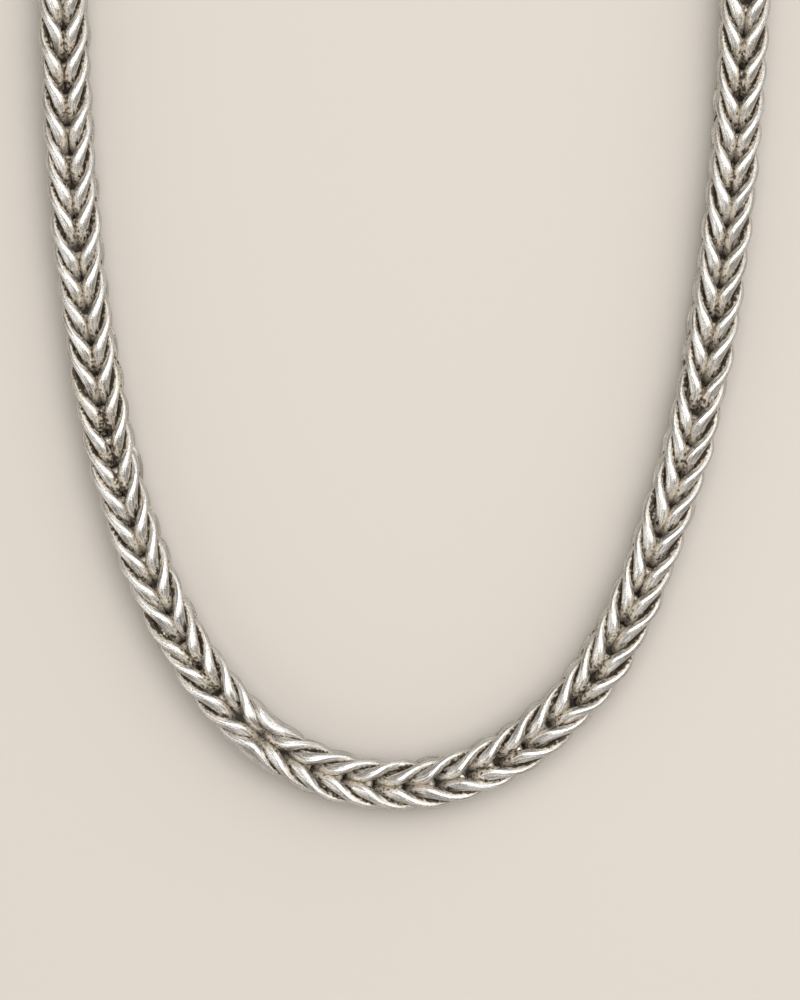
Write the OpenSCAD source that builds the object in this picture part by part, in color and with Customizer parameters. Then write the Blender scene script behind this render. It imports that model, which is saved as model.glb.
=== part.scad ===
// Heavy silver wheat chain necklace, closed and lying flat on the plane z = 0.
// The loop lies in the XY plane with its front towards -Y and its clasp at the back, towards +Y.

/* [Wire] */
// Diameter of the round silver wire that every link is bent from
wire_d = 1.45; // [1.4:0.05:1.8]
// Room added to the wire where two strands lie side by side
strand_gap = 0.07; // [0.05:0.01:0.2]

/* [Weave] */
// Way round the loop from the middle of the clasp to the place where the weave turns to face itself
turn_at = 206.5; // [160:0.5:260]

/* [Clasp] */
// Length of the clasp's body, measured along the loop
clasp_l = 15; // [10:0.5:20]
// How far the clasp's body stands out beside the chain, on each side
clasp_shoulder = 0.5; // [0.2:0.1:1.5]
// Size of the cut corners of the clasp's body, seen from above
clasp_chamfer = 1.2; // [0.5:0.1:2.5]
// How deep the clasp's bows are soldered into its body
bow_seat = 0.5; // [0.3:0.1:1.5]
// Space between the clasp's body and the nearest link
clasp_gap = 1.3; // [0.6:0.1:2]

/* [Hidden] */
silver = [0.76, 0.75, 0.73];

// Guide points of the loop: its middle line is the smooth curve that they pull towards them
route = [
    [0, 74], [-24, 71], [-44, 59], [-51, 37], [-50, 7], [-49, -16], [-45, -46], [-39, -69],
    [-28, -90], [-12, -102], [9, -103], [29, -88], [38, -65], [44, -45], [48, -17], [50, 6],
    [51, 36], [44, 59], [24, 71]
];
route_steps = 16;

// Flat sides of the wire's section
wire_sides = 5;

// A cell is the room that one strand takes, and the weave is measured in cells
cell = wire_d + strand_gap;

// From one link to the next, and between the middles of two strands that cross inside the weave
pitch_cells = 3.02;
crossing_cells = 1.06;

// The upper half of one leg of a link, from its eye to the corner that it turns round.
// Columns: across the chain, up from its middle, along it towards the eye, all in cells.
// The link after next turns back inside the eye, a crossing away from it.
LEG = [
    [0.50, 1.94, pitch_cells + crossing_cells / 2],
    [1.55, 1.94, 0.60]
];
eye = LEG[0];
flank = LEG[1];
// Half the space between the two sets of eyes where the weave turns to face itself
meeting_cells = 1.1;

pitch = pitch_cells * cell;
axis_z = eye.y * cell + wire_d / 2;
chain_half = axis_z;
chain_h = 2 * axis_z;
link_reach = (eye.z + 0.5) * cell;

// Small vector helpers
function unit(v) = v / norm(v);
function turned_round(list) = [for (i = [len(list) - 1 : -1 : 0]) list[i]];
function mirrored(list, x, y) = [for (p = list) [x * p.x, y * p.y, p.z]];
function shifted(list, along) = [for (p = list) [p.x, p.y, p.z + along]];
function in_mm(list) = list * cell;

// Uniform cubic B-spline through the guide points: its place after i points and a share u of a step
function route_point(i, u) =
    let (n = len(route),
         a = route[(i + n - 1) % n], b = route[i % n], c = route[(i + 1) % n], d = route[(i + 2) % n])
    (a * pow(1 - u, 3) + b * (3 * pow(u, 3) - 6 * u * u + 4)
     + c * (-3 * pow(u, 3) + 3 * u * u + 3 * u + 1) + d * pow(u, 3)) / 6;

// The loop as short chords, starting at the middle of the clasp and ending there again
route_count = len(route) * route_steps;
drawn = [for (k = [0 : route_count])
    route_point(floor(k / route_steps), (k % route_steps) / route_steps)];
function middle(list) = (max(list) + min(list)) / 2;
centre = [middle([for (p = drawn) p.x]), middle([for (p = drawn) p.y])];
chords = [for (p = drawn) p - centre];
function running(i, total) = i > route_count
    ? []
    : let (here = total + (i == 0 ? 0 : norm(chords[i] - chords[i - 1])))
      concat([here], running(i + 1, here));
distance = running(0, 0);
loop_length = distance[route_count];

// Direction of the loop at a chord's start, and tables from distance to place and direction
function heading(i) = let (n = route_count) unit(chords[(i + 1) % n] - chords[(i + n - 1) % n]);
table_x = [for (i = [0 : route_count]) [distance[i], chords[i].x]];
table_y = [for (i = [0 : route_count]) [distance[i], chords[i].y]];
table_u = [for (i = [0 : route_count]) [distance[i], heading(i % route_count).x]];
table_v = [for (i = [0 : route_count]) [distance[i], heading(i % route_count).y]];

// Point of the chain at distance s round the loop: p is across to the loop's inside, up and along
function on_loop(s, p) =
    let (t = (s + p.z + loop_length) % loop_length,
         ahead = unit([lookup(t, table_u), lookup(t, table_v)]))
    [lookup(t, table_x) - p.x * ahead.y, lookup(t, table_y) + p.x * ahead.x, axis_z + p.y];

// Ring of wire points round station i of a path, mitred so that the wire keeps its thickness.
// A path is closed if its last station joins its first.
function wire_ring(path, i, closed) =
    let (n = len(path), here = path[i],
         next = closed || i < n - 1 ? path[(i + 1) % n] : 2 * here - path[i - 1],
         last = closed || i > 0 ? path[(i + n - 1) % n] : 2 * here - next,
         a = unit(here - last), b = unit(next - here), along = unit(a + b),
         outward = [here.x, here.y, 0], side = unit(outward - along * (outward * along)),
         up = cross(along, side),
         bend = norm(b - a) < 0.001 ? [0, 0, 0] : unit(b - a),
         stretch = 1 / sqrt((1 + a * b) / 2) - 1)
    [for (k = [0 : wire_sides - 1])
        let (o = side * cos(360 * k / wire_sides) + up * sin(360 * k / wire_sides))
        here + wire_d / 2 * (o + bend * (o * bend) * stretch)];

// Wire swept along a path and bent with the loop; way is -1 where the weave runs backwards
module wire(path, s, way = 1, closed = true) {
    n = len(path);
    m = wire_sides;
    points = [for (i = [0 : n - 1]) for (p = wire_ring(path, i, closed))
        on_loop(s, [way * p.x, p.y, way * p.z])];
    sides = [for (i = [0 : n - (closed ? 1 : 2)]) for (k = [0 : m - 1])
        let (a = i * m + k, b = i * m + (k + 1) % m,
             c = ((i + 1) % n) * m + (k + 1) % m, d = ((i + 1) % n) * m + k)
        each [[a, c, b], [a, d, c]]];
    end = (n - 1) * m;
    caps = closed ? [] : [for (k = [1 : m - 2]) each [[0, k, k + 1], [end, end + k + 1, end + k]]];
    polyhedron(points, concat(sides, caps), convexity = 6);
}

// Four legs make a link: two eyes at one end, two folds at the other, turned a quarter to them
leg = concat(LEG, turned_round([for (p = LEG) [p.y, p.x, -p.z]]));
link_path = in_mm(concat(
    leg, turned_round(mirrored(leg, -1, 1)), mirrored(leg, -1, -1), turned_round(mirrored(leg, 1, -1))));

// First link's middle, measured from the middle of the clasp, and last link's from the turn
first_link = clasp_l / 2 + clasp_gap + link_reach;
last_link = (eye.z + meeting_cells) * cell;

// A run of links from distance s, n of them, a step apart; each passes through the two before it
module run_of_links(s, n, step, way) {
    for (i = [0 : n - 1]) wire(link_path, s + way * i * step, way);
}

left_length = turn_at - first_link - last_link;
left_gaps = floor(left_length / pitch);
right_length = loop_length - turn_at - first_link - last_link;
right_gaps = floor(right_length / pitch);

module chain_left() {
    color(silver) run_of_links(first_link, left_gaps + 1, left_length / left_gaps, 1);
}

module chain_right() {
    color(silver)
        run_of_links(loop_length - first_link, right_gaps + 1, right_length / right_gaps, -1);
}

// Two long rings, one above the other, pass through the last two links of both runs
ring_bar = eye.z + last_link / cell - pitch_cells;
ring_half = [
    [eye.y, eye.x, ring_bar],
    [flank.y, flank.x, ring_bar - eye.z + flank.z]
];
ring_side = concat(ring_half, turned_round([for (p = ring_half) [p.x, p.y, -p.z]]));
ring_path = in_mm(concat(ring_side, turned_round(mirrored(ring_side, -1, 1))));

module joining_rings() {
    color(silver) {
        wire(ring_path, turn_at);
        wire(mirrored(ring_path, -1, -1), turn_at);
    }
}

// A bow of the clasp is the eye of a link that would come before the first one
bow_eye_z = (eye.z - pitch_cells) * cell;
bow_root = [1.3, 1.3];
bow_arm = [
    [bow_root.x * cell, bow_root.y * cell, -(link_reach + clasp_gap + bow_seat)],
    [flank.x * cell, flank.y * cell, (flank.z - pitch_cells) * cell],
    [eye.x * cell, eye.y * cell, bow_eye_z]
];
bow_path = concat(bow_arm, turned_round(mirrored(bow_arm, 1, -1)));

module clasp_bow(side) {
    wire(mirrored(bow_path, side, side), first_link, 1, false);
    wire(mirrored(bow_path, side, side), loop_length - first_link, -1, false);
}

// Stations of the clasp's outline: distance from its middle and half width there
body_half = chain_half + clasp_shoulder;
clasp_edge = [
    [clasp_l / 2, body_half - clasp_chamfer],
    [clasp_l / 2 - clasp_chamfer, body_half],
    [clasp_l / 5, body_half]
];
clasp_stations = concat(clasp_edge, turned_round([for (p = clasp_edge) [-p.x, p.y]]));

module clasp_body() {
    function edge(list, side) = [for (p = list)
        let (q = on_loop(0, [side * p[1], 0, p[0]])) [q.x, q.y]];
    linear_extrude(height = chain_h)
        polygon(concat(edge(clasp_stations, 1), turned_round(edge(clasp_stations, -1))));
}

module clasp() {
    color(silver) union() {
        clasp_body();
        for (side = [-1, 1]) clasp_bow(side);
    }
}

chain_left();
chain_right();
joining_rings();
clasp();
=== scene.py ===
"""Dresses a heavy silver wheat chain as a Blender add-on that is run as a script.

Every link is a closed wire whose middle line is a seam curve like that of a tennis ball. The links
are worked out straight, then bent along the loop that the part's source also holds.
"""

import bpy
import numpy as np
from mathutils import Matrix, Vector


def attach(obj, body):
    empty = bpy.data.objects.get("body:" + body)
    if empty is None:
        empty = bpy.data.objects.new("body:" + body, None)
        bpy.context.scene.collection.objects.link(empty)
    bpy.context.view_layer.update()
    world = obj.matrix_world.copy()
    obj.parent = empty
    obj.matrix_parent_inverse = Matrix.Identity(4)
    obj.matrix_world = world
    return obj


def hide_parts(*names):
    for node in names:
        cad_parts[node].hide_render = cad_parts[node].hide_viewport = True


bl_info = {
    "name": "Wheat Chain",
    "version": (1, 0, 0),
    "blender": (4, 5, 0),
    "location": "3D View > Sidebar > Wheat Chain",
    "description": "Bends the links of a silver wheat chain and lays it on a pale table",
    "category": "Add Mesh",
}

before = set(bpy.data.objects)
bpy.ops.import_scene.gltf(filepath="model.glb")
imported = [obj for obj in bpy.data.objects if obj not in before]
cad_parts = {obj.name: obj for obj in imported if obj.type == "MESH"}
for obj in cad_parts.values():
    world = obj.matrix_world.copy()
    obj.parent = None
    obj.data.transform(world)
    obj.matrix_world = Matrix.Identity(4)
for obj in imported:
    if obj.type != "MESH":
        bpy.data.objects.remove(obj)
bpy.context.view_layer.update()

MM = 0.001

# Sizes of the part's source
WIRE_D = 1.45 * MM
STRAND_GAP = 0.07 * MM
CELL = WIRE_D + STRAND_GAP
EYE_OVER = 1.94 * CELL
PITCH = 3.02 * CELL
CROSSING = 1.06 * CELL
EYE_ALONG = PITCH + CROSSING / 2
AXIS_Z = EYE_OVER + WIRE_D / 2
LINK_REACH = EYE_ALONG + 0.5 * CELL
TURN_AT = 206.5 * MM
CLASP_L = 15 * MM
CLASP_GAP = 1.3 * MM
CLASP_SHOULDER = 0.5 * MM
ROUTE_STEPS = 16

# Half the space between the two sets of eyes where the weave turns to face itself: in the part's
# source, which keeps its solids apart, and here, where they come nearer
MEETING_CAD = 1.1 * CELL
MEETING = 0.66 * CELL

# Guide points of the loop, the same as in the part's source, clasp first
ROUTE = MM * np.array([
    (0, 74), (-24, 71), (-44, 59), (-51, 37), (-50, 7), (-49, -16), (-45, -46), (-39, -69),
    (-28, -90), (-12, -102), (9, -103), (29, -88), (38, -65), (44, -45), (48, -17), (50, 6),
    (51, 36), (44, 59), (24, 71),
], float)

# The photograph: its size and that of one of its pixels, and where its middle lies among the
# guide points
IMAGE = (800, 1000)
PIXEL = 0.14725 * MM
IMAGE_CENTRE = (-0.6 * MM, -59.9 * MM)

# Harmonics of a link's middle line, in a unit of which PITCH_UNITS make the distance from link to
# link. ACROSS shapes its two sideways coordinates alike, and ALONG its coordinate along the chain.
ACROSS = (1.158, -0.932, 0.181, 0.037, 0.044)
ALONG = (3.132, 0.194, 0.052)
PITCH_UNITS = 2.56
UNIT = PITCH / PITCH_UNITS

# Power that wears a wire's round section flat, where 1 leaves it round
WORN = 0.72

# Tarnish and painted shade by depth: the share of the way to the chain's middle that stays open, how fast
# it grows from there, its greatest mark, and its strength and reach beside the middle line of a face
OPEN_DEPTH = 0.1
DEPTH_TONE = 1.2
DEEPEST = 0.56
MIDDLE_TONE = 0.5
MIDDLE_REACH = 0.8 * MM

# Grooves, painted shade and tarnish where wires meet: how far the dark reaches from a neighbour's surface
# onto a link and onto a joining ring, and how dark it is there in the middle of a link's face and on a
# ring
LINK_GROOVE = 0.23 * MM
RING_GROOVE = 0.35 * MM
LINK_GROOVE_TONE = 0.42
RING_GROOVE_TONE = 1.05

# Points on a neighbour's middle line, for the grooves of a link and of a joining ring
LINK_NEIGHBOUR_POINTS = 192
RING_NEIGHBOUR_POINTS = 96

# Stations along a joining ring and a bow, and points taken from one fold or eye of a link
RING_STATIONS = 110
BOW_STATIONS = 60
FOLD_POINTS = 15

# Swell of the joining rings: its reach, in distances from the turn to the middle of the link that
# would come next, and how much more a ring's side on the outside of the loop swells than both of
# its sides do on average
SWELL_REACH = 1.5
SWELL_LEAN = 0.4

# Clasp: stations and sides of its body, the powers that square its ends and its section, its
# tarnish, how far a bow's roots are drawn together, and how deep they go into the body
CLASP_STATIONS = 64
CLASP_SIDES = 64
CLASP_END_POWER = 0.22
CLASP_SECTION_POWER = 0.3
CLASP_MARK = 0.05
BOW_DRAW = 0.9
BOW_SEAT = 0.6 * MM

# Random seeds of the two runs
LEFT_SEED = 3
RIGHT_SEED = 8

# Darkness, from tarnish and painted shade, at which each colour of the silver stands
CROWN_AT = 0.12
SHADE_AT = 0.3
DEEP_AT = 0.5
GROOVE_AT = 0.78

# Mottling of the silver on its crowns, and how much more there is as it gets darker
CROWN_MOTTLE = 0.35
DEEP_MOTTLE = 1.3

# Darkness over which the silver loses its gloss, and over which it turns from metal to tarnish,
# with the share of metal at both ends
GLOSS_SPAN = (0.1, 0.8)
METAL_SPAN = (0.25, 0.5)
METAL = (1, 0.2)

# Values of a noise over which the mottling and the specks come in, and over which streaks do
NOISE_SPAN = (0.3, 0.7)
STREAK_SPAN = (0.35, 0.6)

# Scratches: cells of their noise along one wire and round it, how far apart two wires lie in the
# noise so that their marks differ, the height of the bump, and the share that specks add to it
SCRATCH_CELLS = (12, 22, 1)
SCRATCH_STEP = 3.0
SCRATCH_HEIGHT = 0.16 * MM
SPECK_HEIGHT = 0.15

# Stage: half the table's width, how far it lies under the chain and how matt it is, the colour of
# the room's light, and the place and width of each lamp, in metres
TABLE_HALF = 3.0
TABLE_DROP = 0.05 * MM
TABLE_ROUGHNESS = 0.7
ROOM_COLOUR = (1.0, 0.94, 0.85, 1)
LAMPS = {
    "key": ((0.62, 0.45, 0.75), 1.7),
    "overhead": ((0.14, 0.06, 1.1), 1.1),
    "front": ((0.15, -0.95, 0.55), 0.8),
    "fill": ((-0.8, -0.3, 0.5), 0.9),
}


def route_line():
    """Closed middle line of the chain: a uniform cubic B-spline pulled towards ROUTE, sampled
    evenly in each step. Returns distance along it, its points, its unit directions, and the middle
    of its outline among the guide points.
    """
    w = np.arange(ROUTE_STEPS)[None, :, None] / ROUTE_STEPS
    a, b, c, d = (np.roll(ROUTE, k, 0)[:, None] for k in (1, 0, -1, -2))
    points = (a * (1 - w) ** 3 + b * (3 * w**3 - 6 * w**2 + 4)
              + c * (-3 * w**3 + 3 * w**2 + 3 * w + 1) + d * w**3) / 6
    points = points.reshape(-1, 2)
    centre = (points.max(0) + points.min(0)) / 2
    points = points - centre
    ahead = np.roll(points, -1, 0) - np.roll(points, 1, 0)
    ahead /= np.linalg.norm(ahead, axis=1, keepdims=True)
    points, ahead = (np.vstack([v, v[:1]]) for v in (points, ahead))
    steps = np.linalg.norm(np.diff(points, axis=0), axis=1)
    return np.concatenate([[0], np.cumsum(steps)]), points, ahead, centre


DISTANCE, LINE, AHEAD, ROUTE_CENTRE = route_line()
LOOP_LENGTH = DISTANCE[-1]


def run_places():
    """Distances round the loop of every link's middle, for the run on the left and on the right,
    by even division. There are as many as in the part's source, but the last ones come nearer to
    the turn of the weave.
    """
    first = CLASP_L / 2 + CLASP_GAP + LINK_REACH
    places = []
    for length in (TURN_AT, LOOP_LENGTH - TURN_AT):
        gaps = int((length - first - EYE_ALONG - MEETING_CAD) / PITCH)
        places.append(np.linspace(first, length - EYE_ALONG - MEETING, gaps + 1))
    return places[0], LOOP_LENGTH - places[1]


LEFT_PLACES, RIGHT_PLACES = run_places()

# Distance from link to link in the run on the left, about 1% less than in the other one
STEP = float(LEFT_PLACES[1] - LEFT_PLACES[0])


def on_loop(s, local):
    """Bends straight chain coordinates along the loop. The last axis of local is across towards
    the inside, up, and along from distance s; across is laid off square to the loop's direction.
    """
    t = (s + local[..., 2]) % LOOP_LENGTH
    x, y = (np.interp(t, DISTANCE, LINE[:, k]) for k in (0, 1))
    u, v = (np.interp(t, DISTANCE, AHEAD[:, k]) for k in (0, 1))
    size = np.hypot(u, v)
    return np.stack([x - local[..., 0] * v / size, y + local[..., 0] * u / size,
                     AXIS_Z + local[..., 1]], -1)


def whole_turn(count):
    """Angles of count even steps round a link or a section."""
    return np.arange(count) * 2 * np.pi / count


def raised(wave, power):
    """A sine or cosine raised to a power, with its sign kept. The lower the power, the more square
    is the outline that it draws.
    """
    return np.sign(wave) * np.abs(wave) ** power


def seam(turn):
    """Middle line of a link at angle turn, straight and centred: across is a sum of odd cosines,
    up the same sum in sines with signs that alternate, and along a sum of every other even cosine.
    """
    turn = np.asarray(turn)[:, None]
    odd = 2 * np.arange(len(ACROSS)) + 1
    even = 4 * np.arange(len(ALONG)) + 2
    across = np.cos(turn * odd) @ np.array(ACROSS)
    up = np.sin(turn * odd) @ (np.array(ACROSS) * (-1.0) ** np.arange(len(ACROSS)))
    along = np.cos(turn * even) @ np.array(ALONG)
    return UNIT * np.stack([across, up, along], 1)


def tube(path, half_face, half_deep, sides, closed=True):
    """Surface grid of a wire: at each point of path an ellipse square to it, reaching half_face to
    both sides along the face of the chain, and half_deep out and in. Its sine and cosine are raised
    to the power WORN, which wears it flat. Both sizes may differ from point to point. Closed paths
    join up.
    """
    half_face, half_deep = (np.reshape(half, (-1, 1, 1)) for half in (half_face, half_deep))
    if closed:
        ahead = np.roll(path, -1, 0) - np.roll(path, 1, 0)
    else:
        ahead = np.gradient(path, axis=0)
    ahead = ahead / np.linalg.norm(ahead, axis=1, keepdims=True)
    out = path * (1, 1, 0)
    out = out - ahead * (out * ahead).sum(1, keepdims=True)
    out = out / np.linalg.norm(out, axis=1, keepdims=True)
    side = np.cross(ahead, out)
    angle = whole_turn(sides)[None, :, None]
    thick, wide = (raised(wave, WORN) for wave in (np.cos(angle), np.sin(angle)))
    return path[:, None] + half_deep * thick * out[:, None] + half_face * wide * side[:, None]


def tube_faces(rings, sides, closed=True):
    """Four-sided faces of a tube's grid, and the place of each of their corners: its share of the
    way along the wire and round it, which reaches 1 where the grid joins up.
    """
    last = rings if closed else rings - 1
    i, j = np.meshgrid(np.arange(last), np.arange(sides), indexing="ij")
    corner_i = np.stack([i, i, i + 1, i + 1], -1)
    corner_j = np.stack([j, j + 1, j + 1, j], -1)
    faces = (corner_i % rings) * sides + corner_j % sides
    places = np.stack([corner_i / rings, corner_j / sides], -1)
    return faces.reshape(-1, 4), places.reshape(-1, 2)


def smoothed(corners, count, closed=True):
    """Smooth line through the neighbourhood of corners: twice, every corner is cut at a quarter of
    its sides, and the result is sampled at count even distances.
    """
    line = np.asarray(corners, float)
    for _ in range(2):
        following = np.roll(line, -1, 0) if closed else line[1:]
        current = line if closed else line[:-1]
        cut = np.stack([0.75 * current + 0.25 * following, 0.25 * current + 0.75 * following], 1)
        cut = cut.reshape(-1, 3)
        line = cut if closed else np.vstack([line[:1], cut, line[-1:]])
    if closed:
        line = np.vstack([line, line[:1]])
    steps = np.concatenate([[0], np.cumsum(np.linalg.norm(np.diff(line, axis=0), axis=1))])
    at = np.linspace(0, steps[-1], count, endpoint=not closed)
    return np.stack([np.interp(at, steps, line[:, k]) for k in range(3)], 1)


def leaf_shape(turn, weave):
    """Half width and half depth of a strand at angle turn of its link. It crosses eight half faces
    as eight leaves, each widest in its middle, and is narrower still where it turns a corner.
    """
    corner = 1 - weave.corner * np.sin(2 * turn) ** 6
    half_face = weave.wire_width / 2 * (1 - weave.leaf * np.cos(8 * turn)) * corner
    return half_face, np.full_like(turn, weave.wire_depth / 2)


def wobble(turn, size, rng):
    """Hand-bent unevenness of one link: for each of its three directions a sum of the first three
    waves round the link, in random phases, each wave weaker than the one before.
    """
    phase = rng.uniform(0, 2 * np.pi, (3, 3))
    wave = np.arange(1, 4)
    return size * (np.cos(turn[:, None, None] * wave + phase) / wave).sum(-1)


def depth_mark(grid):
    """Tarnish and painted shade of a wire by the depth of its points: nothing on open crowns, more the
    deeper they lie under the chain's outer face and the nearer to the middle line of a face, where the
    strands dive, up to DEEPEST.
    """
    outer = np.abs(grid[..., :2]).max(-1)
    inner = np.abs(grid[..., :2]).min(-1)
    middle = MIDDLE_TONE * np.exp(-(inner / MIDDLE_REACH) ** 4)
    deep = np.clip((AXIS_Z - outer) / AXIS_Z, 0, 1) + middle
    return np.clip(DEPTH_TONE * (deep - OPEN_DEPTH), 0, DEEPEST)


def groove_mark(grid, neighbours, half_deep, reach):
    """Tarnish and painted shade of a wire beside its neighbours, given by points on their middle lines: 1
    within half_deep of a point, and falling off over reach, which may differ along the wire.
    """
    flat = grid.reshape(-1, 3)
    near = np.sqrt(((flat[:, None] - neighbours[None]) ** 2).sum(-1)).min(1).reshape(grid.shape[:2])
    return np.exp(-(np.clip(near - half_deep, 0, None) / np.reshape(reach, (-1, 1))) ** 2)


def link_marks(grid, turn, weave):
    """Tarnish and painted shade of one straight link among three links on each side of it: that of its
    depth or of its grooves, whichever is darker. The grooves are darker and wider where it turns a corner
    of the chain, and its depth a little darker too, as painted shade where the strand dips under its
    neighbours.
    """
    line = seam(whole_turn(LINK_NEIGHBOUR_POINTS))
    others = np.concatenate([line + (0, 0, k * STEP) for k in (-3, -2, -1, 1, 2, 3)])
    corner = np.sin(2 * turn) ** 2
    groove = groove_mark(grid, others, weave.wire_depth / 2, LINK_GROOVE + weave.wedge * corner ** 3)
    corner = corner[:, None]
    depth = depth_mark(grid) + weave.edge * corner ** 6
    return np.clip(np.maximum(depth, (LINK_GROOVE_TONE + corner) * groove), 0, 1)


def joined(parts):
    """One surface from several, each given by its points, its faces, the places of their corners on the
    wire, and the tarnish and painted shade of its points.
    """
    points, faces, uv, marks = [], [], [], []
    start = 0
    for part_points, part_faces, part_uv, part_marks in parts:
        points.append(part_points.reshape(-1, 3))
        faces += [[start + k for k in face] for face in part_faces]
        uv.append(part_uv)
        marks.append(part_marks.ravel())
        start += len(points[-1])
    return np.concatenate(points), faces, np.concatenate(uv), np.concatenate(marks)


def piece(name, node, points, faces, uv, marks):
    """Makes one silver mesh piece from arrays, with its tarnish and painted shade as an attribute, and
    puts it on the frame in place of node.
    """
    mesh = bpy.data.meshes.new(name)
    mesh.from_pydata(points.reshape(-1, 3), [], faces)
    mesh.shade_smooth()
    layer = mesh.uv_layers.new(name="wire")
    layer.data.foreach_set("uv", uv.astype(np.float32).ravel())
    # Tarnish and painted shade of each point, which the silver's colour ramp reads
    attribute = mesh.attributes.new("recess", "FLOAT", "POINT")
    attribute.data.foreach_set("value", marks.astype(np.float32).ravel())
    mesh.materials.append(silver_material())
    thing = bpy.data.objects.new(name, mesh)
    bpy.context.scene.collection.objects.link(thing)
    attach(thing, "root")
    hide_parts(node)


def shader_node(tree, kind, x, y, **values):
    """Adds a node at (x, y) and sets its sockets or settings by name."""
    made = tree.nodes.new(kind)
    made.location = (x, y)
    for key, value in values.items():
        if key in made.inputs:
            made.inputs[key].default_value = value
        else:
            setattr(made, key, value)
    return made


def noise(tree, place, x, y, **values):
    """Adds a noise that reads the coordinates place, and returns the socket of its value."""
    made = shader_node(tree, "ShaderNodeTexNoise", x, y, **values)
    tree.links.new(place, made.inputs["Vector"])
    return made.outputs["Fac"]


def mapped(tree, value, x, y, before, after):
    """Adds a node that carries a value from the range before to the range after, and holds it at
    the ends of that range.
    """
    made = shader_node(tree, "ShaderNodeMapRange", x, y)
    for key, limit in zip(("From Min", "From Max", "To Min", "To Max"), before + after):
        made.inputs[key].default_value = limit
    tree.links.new(value, made.inputs["Value"])
    return made.outputs["Result"]


def times_plus(tree, x, y, *values):
    """Adds a node that multiplies the first value by the second and adds the third. Each is a
    number or another node's value.
    """
    made = shader_node(tree, "ShaderNodeMath", x, y, operation="MULTIPLY_ADD")
    for socket, value in zip(made.inputs, values):
        if isinstance(value, bpy.types.NodeSocket):
            tree.links.new(value, socket)
        else:
            socket.default_value = value
    return made.outputs["Value"]


def shaded(tree, colour, value, x, y):
    """Adds a node that darkens a colour by a value from 0 to 1."""
    made = shader_node(tree, "ShaderNodeVectorMath", x, y, operation="MULTIPLY")
    tree.links.new(colour, made.inputs[0])
    tree.links.new(value, made.inputs[1])
    return made.outputs["Vector"]


def darkness(tree, finish, place):
    """How dark the silver is, from tarnish and painted shade: the piece's own mark plus a mottling, which
    is stronger the deeper the mark.
    """
    mark = shader_node(tree, "ShaderNodeAttribute", -1100, 300, attribute_name="recess").outputs["Fac"]
    mottle = noise(tree, place, -1100, 60, Scale=finish.mottle_scale, Detail=4.0)
    spread = mapped(tree, mottle, -900, 60, NOISE_SPAN, (-finish.mottle, finish.mottle))
    strength = times_plus(tree, -820, 160, mark, DEEP_MOTTLE, CROWN_MOTTLE)
    return times_plus(tree, -720, 240, spread, strength, mark)


def silver_colour(tree, finish, dark):
    """Colour of the silver by its darkness, on a ramp of four colours."""
    made = shader_node(tree, "ShaderNodeValToRGB", -540, 300)
    ramp = made.color_ramp
    ramp.elements[0].position = CROWN_AT
    ramp.elements[0].color = (*finish.crown, 1)
    ramp.elements[1].position = GROOVE_AT
    ramp.elements[1].color = (*finish.groove, 1)
    ramp.elements.new(SHADE_AT).color = (*finish.shade, 1)
    ramp.elements.new(DEEP_AT).color = (*finish.deep, 1)
    tree.links.new(dark, made.inputs["Fac"])
    return made.outputs["Color"]


def scratch_pattern(tree):
    """Fine scratches along the strands, which follow the wire's own places."""
    wire = shader_node(tree, "ShaderNodeUVMap", -1300, -320, uv_map="wire")
    stretch = shader_node(tree, "ShaderNodeMapping", -1100, -320, Scale=SCRATCH_CELLS)
    tree.links.new(wire.outputs["UV"], stretch.inputs["Vector"])
    return noise(tree, stretch.outputs["Vector"], -900, -320, Scale=1.0, Detail=5.0, Roughness=0.65)


def silver_material():
    """Worn silver: bright crowns, tan and mottled in the deep, dark brown in the grooves, with fine specks
    and scratches. The tan and dark brown are tarnish and painted shade together. It is made once, then
    found again by its name.
    """
    name = "worn_silver"
    if name in bpy.data.materials:
        return bpy.data.materials[name]
    finish = bpy.context.scene.wheat_silver
    material = bpy.data.materials.new(name)
    material.use_nodes = True
    tree = material.node_tree
    link = tree.links.new
    shader = tree.nodes["Principled BSDF"]
    place = shader_node(tree, "ShaderNodeTexCoord", -1300, 0).outputs["Object"]

    dark = darkness(tree, finish, place)
    specks = noise(tree, place, -1100, 520, Scale=finish.speck_scale, Detail=2.0)
    speck_tone = mapped(tree, specks, -900, 520, NOISE_SPAN, (1 - finish.specks, 1))
    speckled = shaded(tree, silver_colour(tree, finish, dark), speck_tone, -240, 420)
    scratches = scratch_pattern(tree)
    streak_tone = mapped(tree, scratches, -600, -120, STREAK_SPAN, (1 - finish.streaks, 1))
    link(shaded(tree, speckled, streak_tone, -80, 420), shader.inputs["Base Color"])

    roughness = mapped(tree, dark, -540, 0, GLOSS_SPAN, (finish.roughness, finish.deep_roughness))
    link(roughness, shader.inputs["Roughness"])
    link(mapped(tree, dark, -540, 160, METAL_SPAN, METAL), shader.inputs["Metallic"])

    height = times_plus(tree, -600, -300, specks, SPECK_HEIGHT, scratches)
    bump = shader_node(
        tree, "ShaderNodeBump", -300, -300, Strength=finish.scratch, Distance=SCRATCH_HEIGHT)
    link(height, bump.inputs["Height"])
    link(bump.outputs["Normal"], shader.inputs["Normal"])
    return material


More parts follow.
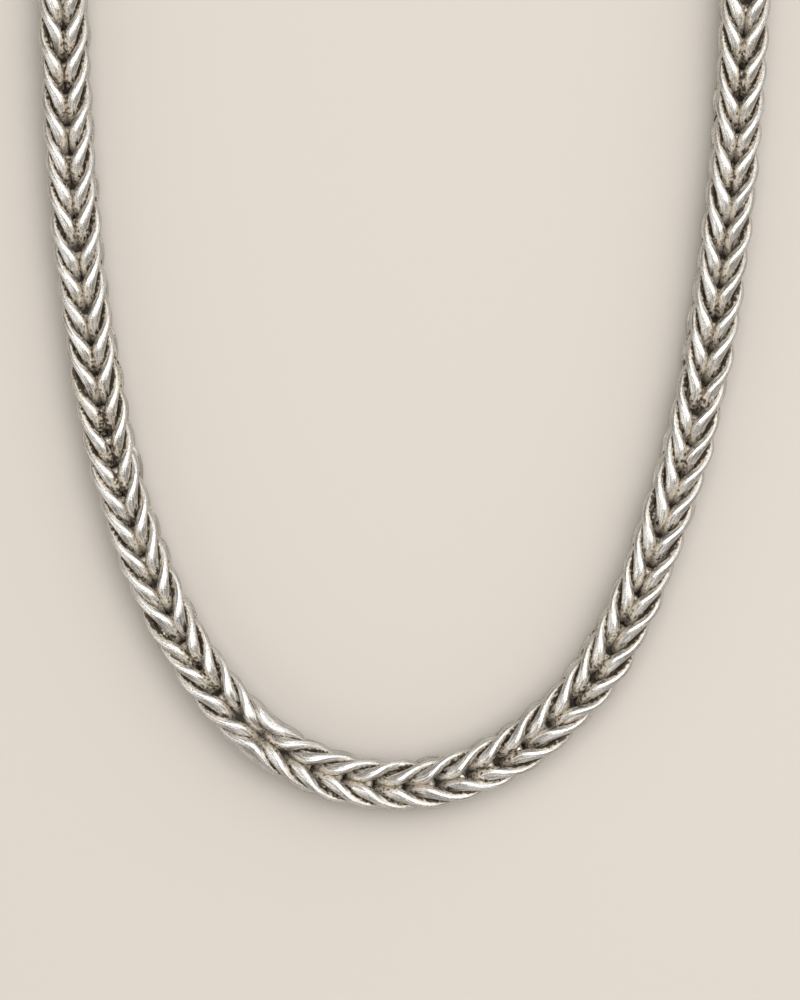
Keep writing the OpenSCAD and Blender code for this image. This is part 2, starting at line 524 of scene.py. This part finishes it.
class WheatWeave(bpy.types.PropertyGroup):
    """Sizes and evenness of the strands"""

    wire_width: bpy.props.FloatProperty(
        name="Wire width", description="Width of a strand on the face of the chain",
        default=1.82 * MM, min=1.2 * MM, max=2.2 * MM, unit="LENGTH", precision=5)
    wire_depth: bpy.props.FloatProperty(
        name="Wire depth", description="Thickness of a strand towards the chain's middle",
        default=1.62 * MM, min=1.0 * MM, max=2.0 * MM, unit="LENGTH", precision=5)
    rings: bpy.props.IntProperty(
        name="Stations", description="Places along one link where its section is worked out",
        default=96, min=48, max=120)
    sides: bpy.props.IntProperty(
        name="Sides", description="Sides of a strand's section", default=18, min=8, max=20)
    stray: bpy.props.FloatProperty(
        name="Stray", description="How far a link sits off its even place, along the chain",
        default=0.22 * MM, min=0, max=0.4 * MM, unit="LENGTH", precision=5)
    leaf: bpy.props.FloatProperty(
        name="Leaf", description="How much wider a strand is in the middle of a face than at its ends",
        default=0.14, min=0, max=0.3, subtype="FACTOR")
    wobble: bpy.props.FloatProperty(
        name="Wobble", description="Unevenness of the hand-bent links",
        default=0.12 * MM, min=0, max=0.3 * MM, unit="LENGTH", precision=5)
    corner: bpy.props.FloatProperty(
        name="Corner", description="How much narrower a strand is where it turns a corner of the chain",
        default=0.28, min=0, max=0.5, subtype="FACTOR")
    # Wider painted shade and tarnish in the grooves at the corners of the chain
    wedge: bpy.props.FloatProperty(
        name="Wedge", description="How much wider the dark grooves are at the corners of the chain",
        default=0.5 * MM, min=0, max=1 * MM, unit="LENGTH", precision=5)
    # Painted shade where a strand turns a corner of the chain and dips under its neighbours
    edge: bpy.props.FloatProperty(
        name="Edge", description="How much darker a strand is where it turns a corner of the chain",
        default=0.1, min=0, max=1, subtype="FACTOR")
    lens: bpy.props.FloatProperty(
        name="Lens", description="How much the joining rings swell where the weave turns",
        default=0.5, min=0, max=0.8, subtype="FACTOR")
    bow: bpy.props.FloatProperty(
        name="Bow", description="How far the joining rings bow inwards where the weave turns",
        default=0.1 * MM, min=0, max=1.5 * MM, unit="LENGTH", precision=5)
    tone: bpy.props.FloatProperty(
        name="Tone", description="How much the tarnish differs from link to link",
        default=0.08, min=0, max=0.2, subtype="FACTOR")
    lean: bpy.props.FloatProperty(
        name="Lean", description="How far a link is rolled about the chain's length",
        default=0.06, min=0, max=0.15, subtype="ANGLE")


class WheatSilver(bpy.types.PropertyGroup):
    """Colours and finish of the worn silver"""

    crown: bpy.props.FloatVectorProperty(
        name="Crown colour", description="Colour of the open, polished crowns",
        default=(0.9, 0.885, 0.855), min=0, max=1, subtype="COLOR")
    # Painted shade on the strands' flanks halfway down, and less polished silver there
    shade: bpy.props.FloatVectorProperty(
        name="Shade colour", description="Colour halfway down, where polishing misses",
        default=(0.78, 0.74, 0.685), min=0, max=1, subtype="COLOR")
    # Tarnish between the strands, and painted shade there too
    deep: bpy.props.FloatVectorProperty(
        name="Recess colour", description="Colour of the tarnish between the strands",
        default=(0.8, 0.7, 0.56), min=0, max=1, subtype="COLOR")
    # Dark brown tarnish in the grooves, and painted shade where the wires meet
    groove: bpy.props.FloatVectorProperty(
        name="Groove colour", description="Colour of the dark grooves right beside a strand",
        default=(0.08, 0.061, 0.043), min=0, max=1, subtype="COLOR")
    roughness: bpy.props.FloatProperty(
        name="Crown roughness", description="Roughness of the polished crowns",
        default=0.19, min=0, max=1, subtype="FACTOR")
    deep_roughness: bpy.props.FloatProperty(
        name="Recess roughness", description="Roughness of the tarnish",
        default=0.5, min=0, max=1, subtype="FACTOR")
    mottle: bpy.props.FloatProperty(
        name="Mottle", description="How unevenly the tarnish begins", default=0.3, min=0, max=0.5,
        subtype="FACTOR")
    mottle_scale: bpy.props.FloatProperty(
        name="Mottle scale", description="Patches of tarnish per metre", default=1800, min=100, max=4000)
    specks: bpy.props.FloatProperty(
        name="Specks", description="How dark the fine specks of tarnish are", default=0.38, min=0, max=1,
        subtype="FACTOR")
    speck_scale: bpy.props.FloatProperty(
        name="Speck scale", description="Specks of tarnish per metre", default=4500, min=500, max=8000)
    streaks: bpy.props.FloatProperty(
        name="Streaks", description="How dark the tarnish in the scratches is", default=0.54, min=0, max=1,
        subtype="FACTOR")
    scratch: bpy.props.FloatProperty(
        name="Scratches", description="Depth of the fine scratches along the strands",
        default=0.5, min=0, max=1, subtype="FACTOR")


class WheatStage(bpy.types.PropertyGroup):
    """Table, camera and lights"""

    table: bpy.props.FloatVectorProperty(
        name="Table colour", description="Colour of the plain pale table",
        default=(0.474, 0.441, 0.402), min=0, max=1, subtype="COLOR")
    camera_height: bpy.props.FloatProperty(
        name="Camera height", description="Height of the camera above the table",
        default=0.75, min=0.3, max=2, unit="LENGTH")
    key_power: bpy.props.FloatProperty(
        name="Key light", description="Power of the large light at the upper right, in watts",
        default=10.0, min=0, max=100)
    overhead_power: bpy.props.FloatProperty(
        name="Overhead light", description="Power of the soft light above the camera, in watts",
        default=10.5, min=0, max=100)
    front_power: bpy.props.FloatProperty(
        name="Front light", description="Power of the soft light in front of the chain, in watts",
        default=1.0, min=0, max=100)
    fill_power: bpy.props.FloatProperty(
        name="Fill light", description="Power of the soft light at the lower left, in watts",
        default=2.2, min=0, max=100)
    sky: bpy.props.FloatProperty(
        name="Surroundings", description="Brightness of the room round the table",
        default=0.47, min=0, max=2)


def run_of_links(name, node, places, way, seed):
    """One run as a single mesh: the straight link is rolled and moved a little for every place,
    then bent along the loop. way is -1 where the eyes look against the loop's direction.
    """
    weave = bpy.context.scene.wheat_weave
    turn = whole_turn(weave.rings)
    grid = tube(seam(turn), *leaf_shape(turn, weave), weave.sides)
    rng = np.random.default_rng(seed)
    count = len(places)
    roll = rng.normal(0, weave.lean / 2, count)
    shift = rng.uniform(-weave.stray, weave.stray, count)
    marks = link_marks(grid, turn, weave)[None] + rng.normal(0, weave.tone, count)[:, None, None]
    cos, sin = np.cos(roll)[:, None, None], np.sin(roll)[:, None, None]
    links = np.stack([grid + wobble(turn, weave.wobble, rng)[:, None] for _ in range(count)])
    local = np.stack([
        way * (links[..., 0] * cos - links[..., 1] * sin),
        links[..., 0] * sin + links[..., 1] * cos,
        way * (links[..., 2] + shift[:, None, None])], -1)
    points = on_loop(np.asarray(places)[:, None, None], local)
    faces, uv = tube_faces(weave.rings, weave.sides)
    start = np.arange(count)[:, None, None] * weave.rings * weave.sides
    uv = uv[None] + np.stack([np.arange(count) * SCRATCH_STEP, np.zeros(count)], 1)[:, None]
    piece(name, node, points, (faces[None] + start).reshape(-1, 4), uv, marks)


class WHEAT_OT_links(bpy.types.Operator):
    """Bend the two runs of interlocked links"""

    bl_idname = "wheat.links"
    bl_label = "Add Links"

    def execute(self, context):
        run_of_links("links_left", "chain_left", LEFT_PLACES, 1, LEFT_SEED)
        run_of_links("links_right", "chain_right", RIGHT_PLACES, -1, RIGHT_SEED)
        return {"FINISHED"}


def ring_line(next_link):
    """Middle line of the upper joining ring, straight: the upper fold of the link that each run
    would have next, with its middle next_link from the turn, and a smooth line between the two.
    """
    fold = seam(np.linspace(0.25 * np.pi, 0.75 * np.pi, FOLD_POINTS))
    near = fold - (0, 0, next_link)
    far = (fold * (1, 1, -1) + (0, 0, next_link))[::-1]
    return smoothed(np.vstack([near, far]), RING_STATIONS)


def links_at_turn():
    """Points on the middle lines of the last three links of both runs, straight."""
    line = seam(whole_turn(RING_NEIGHBOUR_POINTS))
    return np.concatenate([
        way * (line * (1, way, 1) - (0, 0, EYE_ALONG + MEETING + k * STEP))
        for k in (0, 1, 2) for way in (1, -1)])


class WHEAT_OT_rings(bpy.types.Operator):
    """Add the two long rings that join both runs, eyes to eyes"""

    bl_idname = "wheat.rings"
    bl_label = "Add Joining Rings"

    def execute(self, context):
        weave = context.scene.wheat_weave
        next_link = EYE_ALONG + MEETING - STEP
        ring = ring_line(next_link)
        others = links_at_turn()
        faces, uv = tube_faces(RING_STATIONS, weave.sides)
        # A cosine squared, which is 1 at the turn and 0 at the swell's reach
        swell = np.cos(np.clip(ring[:, 2] / (SWELL_REACH * next_link), -1, 1) * np.pi / 2) ** 2
        parts = []
        for half, start in ((1, 0), (-1, SCRATCH_STEP)):
            line = ring * (half, half, 1)
            side = np.sign(line[:, 0])
            line[:, 0] -= side * weave.bow * swell
            half_face = weave.wire_width / 2 * (1 + weave.lens * swell * (1 - SWELL_LEAN * side))
            grid = tube(line, half_face, weave.wire_depth / 2, weave.sides)
            # Tarnish and painted shade of the ring beside the last links and by its depth
            groove = RING_GROOVE_TONE * groove_mark(grid, others, weave.wire_depth / 2, RING_GROOVE)
            marks = np.clip(np.maximum(depth_mark(grid), groove), 0, 1)
            parts.append((on_loop(TURN_AT, grid), faces.tolist(), uv + (start, 0), marks))
        piece("ring_wires", "joining_rings", *joined(parts))
        return {"FINISHED"}


def clasp_body():
    """Rounded box of the clasp. Across and up are a cosine and a sine round its section, along is a
    cosine from end to end, and the section shrinks to both ends by the sine of that. All are raised
    to low powers, which square them. A fan of triangles closes each end.
    """
    turn = (np.arange(CLASP_STATIONS) + 0.5)[:, None] * np.pi / CLASP_STATIONS
    angle = whole_turn(CLASP_SIDES)[None, :]
    shrink = raised(np.sin(turn), CLASP_END_POWER)
    walls = np.stack(np.broadcast_arrays(
        (AXIS_Z + CLASP_SHOULDER) * shrink * raised(np.cos(angle), CLASP_SECTION_POWER),
        AXIS_Z * shrink * raised(np.sin(angle), CLASP_SECTION_POWER),
        CLASP_L / 2 * raised(np.cos(turn), CLASP_END_POWER)), -1)
    tips = np.array([(0, 0, CLASP_L / 2), (0, 0, -CLASP_L / 2)])
    points = np.concatenate([walls.reshape(-1, 3), tips])

    wall_faces, uv = tube_faces(CLASP_STATIONS, CLASP_SIDES, closed=False)
    ring = np.arange(CLASP_SIDES)
    following = (ring + 1) % CLASP_SIDES
    first_tip, last_tip = len(points) - 2, len(points) - 1
    last_ring = (CLASP_STATIONS - 1) * CLASP_SIDES
    first_fan = np.stack([np.full(CLASP_SIDES, first_tip), following, ring], 1)
    last_fan = np.stack([np.full(CLASP_SIDES, last_tip), last_ring + ring, last_ring + following], 1)
    faces = [face[::-1].tolist() for part in (wall_faces, first_fan, last_fan) for face in part]
    wall_uv = uv.reshape(-1, 4, 2)[:, ::-1].reshape(-1, 2)
    fan_uv = np.zeros((2 * 3 * CLASP_SIDES, 2))
    marks = np.full(len(points), CLASP_MARK)
    return on_loop(0, points), faces, np.concatenate([wall_uv, fan_uv]), marks


def bow_line(eye_place):
    """Middle line of one bow of the clasp, straight: the eye of a link at eye_place, with both of
    its ends drawn together and led back into the clasp's body.
    """
    eye = seam(np.linspace(-0.25 * np.pi, 0.25 * np.pi, FOLD_POINTS))
    depth = eye_place - CLASP_L / 2 + BOW_SEAT
    roots = eye[[0, -1]] * (BOW_DRAW, BOW_DRAW, 0) - (0, 0, depth)
    return smoothed(np.vstack([roots[:1], eye, roots[1:]]), BOW_STATIONS, closed=False)


def clasp_bow(line, place, way, weave):
    """Wire of one bow along a straight line, closed by a flat face at each end and bent onto the
    loop. way is -1 where the bow looks against the loop's direction.
    """
    grid = tube(line, weave.wire_width / 2, weave.wire_depth / 2, weave.sides, closed=False)
    faces, uv = tube_faces(BOW_STATIONS, weave.sides, closed=False)
    ends = np.arange(weave.sides)
    last_ring = (BOW_STATIONS - 1) * weave.sides
    end_faces = [ends[::-1].tolist(), (last_ring + ends).tolist()]
    end_uv = np.zeros((2 * weave.sides, 2))
    points = on_loop(place, grid * (way, 1, way))
    return points, faces.tolist() + end_faces, np.concatenate([uv, end_uv]), depth_mark(grid)


class WHEAT_OT_clasp(bpy.types.Operator):
    """Add the plain clasp with its four bows"""

    bl_idname = "wheat.clasp"
    bl_label = "Add Clasp"

    def execute(self, context):
        weave = context.scene.wheat_weave
        eye_place = LEFT_PLACES[0] - STEP
        line = bow_line(eye_place)
        parts = [clasp_body()]
        for place, way in ((eye_place, 1), (LOOP_LENGTH - eye_place, -1)):
            for half in (1, -1):
                parts.append(clasp_bow(line * (half, half, 1), place, way, weave))
        piece("clasp_shell", "clasp", *joined(parts))
        return {"FINISHED"}


def lay_table(look):
    """Plain pale table, one flat square just under the chain."""
    mesh = bpy.data.meshes.new("table")
    corners = [(x * TABLE_HALF, y * TABLE_HALF, -TABLE_DROP)
               for x, y in ((-1, -1), (1, -1), (1, 1), (-1, 1))]
    mesh.from_pydata(corners, [], [(0, 1, 2, 3)])
    table = bpy.data.objects.new("table", mesh)
    bpy.context.scene.collection.objects.link(table)
    paint = bpy.data.materials.new("pale_table")
    paint.use_nodes = True
    shader = paint.node_tree.nodes["Principled BSDF"]
    shader.inputs["Base Color"].default_value = (*look.table, 1)
    shader.inputs["Roughness"].default_value = TABLE_ROUGHNESS
    mesh.materials.append(paint)


def set_camera(look, target):
    """Camera straight above target, which takes in as much as the photograph at the height of the
    chain's middle. The sensor's width lies along the longer side of the picture.
    """
    optics = bpy.data.cameras.new("camera")
    optics.lens = optics.sensor_width * (look.camera_height - AXIS_Z) / (max(IMAGE) * PIXEL)
    camera = bpy.data.objects.new("camera", optics)
    camera.location = (target.x, target.y, look.camera_height)
    bpy.context.scene.collection.objects.link(camera)
    bpy.context.scene.camera = camera


def hang_lamps(look, target):
    """Soft square lamps that look at target, each with its own power."""
    for name, (place, width) in LAMPS.items():
        lamp = bpy.data.lights.new(name, "AREA")
        lamp.size = width
        lamp.energy = getattr(look, name + "_power")
        light = bpy.data.objects.new(name, lamp)
        light.location = place
        light.rotation_euler = (target - Vector(place)).to_track_quat("-Z", "Y").to_euler()
        bpy.context.scene.collection.objects.link(light)


class WHEAT_OT_stage(bpy.types.Operator):
    """Set the pale table, the soft lights and the camera over the chain's front"""

    bl_idname = "wheat.stage"
    bl_label = "Add Stage"

    def execute(self, context):
        look = context.scene.wheat_stage
        x, y = np.array(IMAGE_CENTRE) - ROUTE_CENTRE
        target = Vector((x, y, AXIS_Z))
        lay_table(look)
        set_camera(look, target)
        hang_lamps(look, target)
        world = bpy.data.worlds.new("room")
        world.use_nodes = True
        background = world.node_tree.nodes["Background"]
        background.inputs["Color"].default_value = ROOM_COLOUR
        background.inputs["Strength"].default_value = look.sky
        context.scene.world = world
        context.scene.view_settings.view_transform = "Standard"
        return {"FINISHED"}


class WHEAT_PT_panel(bpy.types.Panel):
    bl_label = "Wheat Chain"
    bl_idname = "WHEAT_PT_panel"
    bl_space_type = "VIEW_3D"
    bl_region_type = "UI"
    bl_category = "Wheat Chain"

    def draw(self, context):
        for group in (context.scene.wheat_weave, context.scene.wheat_silver, context.scene.wheat_stage):
            box = self.layout.box()
            for key in group.__annotations__:
                box.prop(group, key)
        for name in STEPS:
            self.layout.operator("wheat." + name)


STEPS = ("links", "rings", "clasp", "stage")
CLASSES = (WheatWeave, WheatSilver, WheatStage, WHEAT_OT_links, WHEAT_OT_rings, WHEAT_OT_clasp,
           WHEAT_OT_stage, WHEAT_PT_panel)


def register():
    for kind in CLASSES:
        bpy.utils.register_class(kind)
    bpy.types.Scene.wheat_weave = bpy.props.PointerProperty(type=WheatWeave)
    bpy.types.Scene.wheat_silver = bpy.props.PointerProperty(type=WheatSilver)
    bpy.types.Scene.wheat_stage = bpy.props.PointerProperty(type=WheatStage)


def unregister():
    del bpy.types.Scene.wheat_weave, bpy.types.Scene.wheat_silver, bpy.types.Scene.wheat_stage
    for kind in reversed(CLASSES):
        bpy.utils.unregister_class(kind)


def main():
    register()
    for name in STEPS:
        if getattr(bpy.ops.wheat, name)() != {"FINISHED"}:
            raise RuntimeError("the step " + name + " did not finish")


if __name__ == "__main__":
    main()
